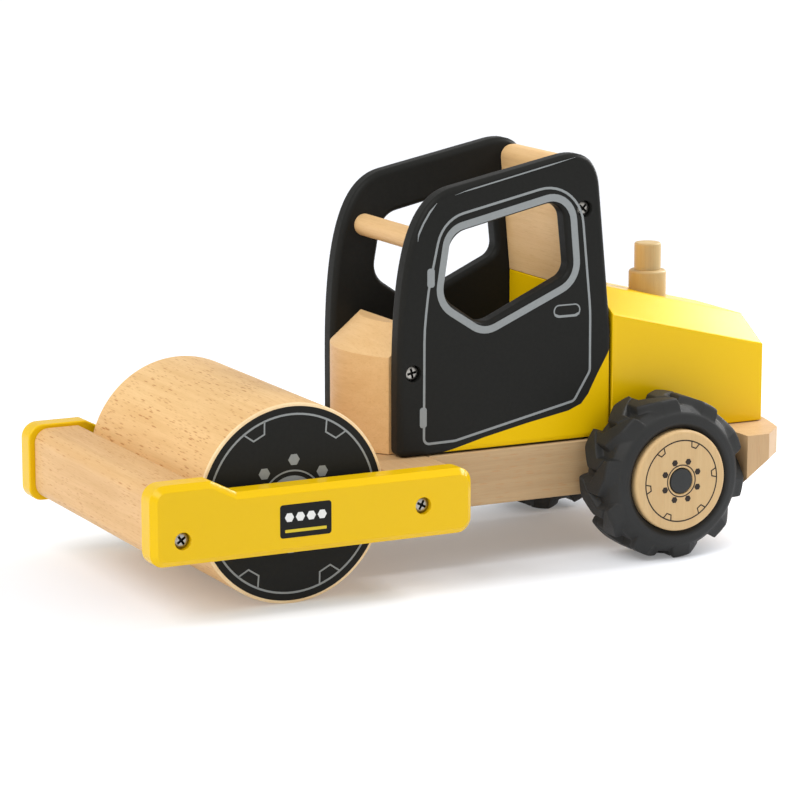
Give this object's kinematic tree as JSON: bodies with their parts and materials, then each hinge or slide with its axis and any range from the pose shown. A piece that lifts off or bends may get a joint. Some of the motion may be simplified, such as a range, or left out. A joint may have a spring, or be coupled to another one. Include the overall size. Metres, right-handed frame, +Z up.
{
  "type": "toy road roller",
  "caption": "Wooden push-along toy road roller with a freely turning front drum, open printed cab, sloping hood with exhaust and lugged rubber rear tyres.",
  "frame": {"origin": "centre of the bounding box at floor level", "axes": "+X forward to the drum, +Y to the driver's left, +Z up"},
  "size_m": [0.302, 0.141, 0.1669],
  "materials": {
    "beech": "clear satin lacquer on beech",
    "yellow_paint": "satin yellow paint on wood",
    "printed_panel": "satin black and yellow print with grey lines on plywood",
    "steel": "plain zinc-plated steel",
    "nylon": "natural white nylon",
    "black_plastic": "matte black plastic",
    "tyre_rubber": "matte moulded rubber"
  },
  "bodies": {
    "frame_and_cab": {"drum_axle": "steel", "drum_washer_left": "nylon", "drum_washer_right": "nylon", "arm_left": "yellow_paint", "arm_right": "yellow_paint", "front_beam": "beech", "rear_cross_beam": "beech", "arm_screw_front_left": "steel", "arm_screw_front_right": "steel", "arm_screw_rear_left": "steel", "arm_screw_rear_right": "steel", "chassis_board": "beech", "rear_bumper": "beech", "cab_panel_left": "printed_panel", "cab_panel_right": "printed_panel", "cab_front_block": "beech", "cab_rear_board": "beech", "grab_bar": "beech", "cab_screw_front_left": "steel", "cab_screw_front_right": "steel", "cab_screw_rear_left": "steel", "cab_screw_rear_right": "steel", "hood": "yellow_paint", "exhaust_base": "beech", "exhaust_tip": "beech"},
    "drum": {"roller_drum": "beech"},
    "rear_wheels": {"rear_axle": "steel", "wheel_washer_left": "nylon", "wheel_washer_right": "nylon", "wheel_hub_left": "beech", "wheel_hub_right": "beech", "hub_cap_left": "black_plastic", "hub_cap_right": "black_plastic", "tyre_left": "tyre_rubber", "tyre_right": "tyre_rubber"}
  },
  "joints": [
    {"name": "drum_spin", "type": "hinge", "parent": "frame_and_cab", "child": "drum", "pos_m": [0.0858, 0, 0.04], "axis": [0, 1, 0], "continuous": true},
    {"name": "rear_wheels_spin", "type": "hinge", "parent": "frame_and_cab", "child": "rear_wheels", "pos_m": [-0.08535, 0, 0.0337], "axis": [0, 1, 0], "continuous": true}
  ]
}
